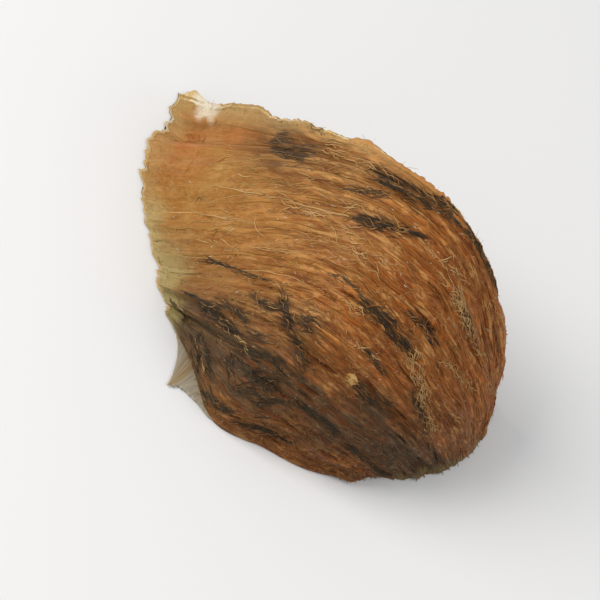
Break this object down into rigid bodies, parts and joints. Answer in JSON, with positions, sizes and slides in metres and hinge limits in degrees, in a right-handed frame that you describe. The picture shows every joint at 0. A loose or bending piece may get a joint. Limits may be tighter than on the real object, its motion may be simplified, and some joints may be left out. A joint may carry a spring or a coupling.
{
  "type": "edible birds nest",
  "caption": "Raw edible bird's nest: a half cup of hardened amber strands with feather bits, resting on its flat wall cut.",
  "frame": {"origin": "middle of the nest's outline on the flat cut where it left the wall, on the surface it rests on", "axes": "+X from the broad foot to the steep foot, along which the strands run; +Y towards the open mouth; +Z away from the wall, up"},
  "size_m": [0.0942, 0.059, 0.0465],
  "materials": {
    "dried_strands": "translucent amber, slightly glossy"
  },
  "bodies": {
    "root": {"nest": "dried_strands"}
  },
  "joints": []
}
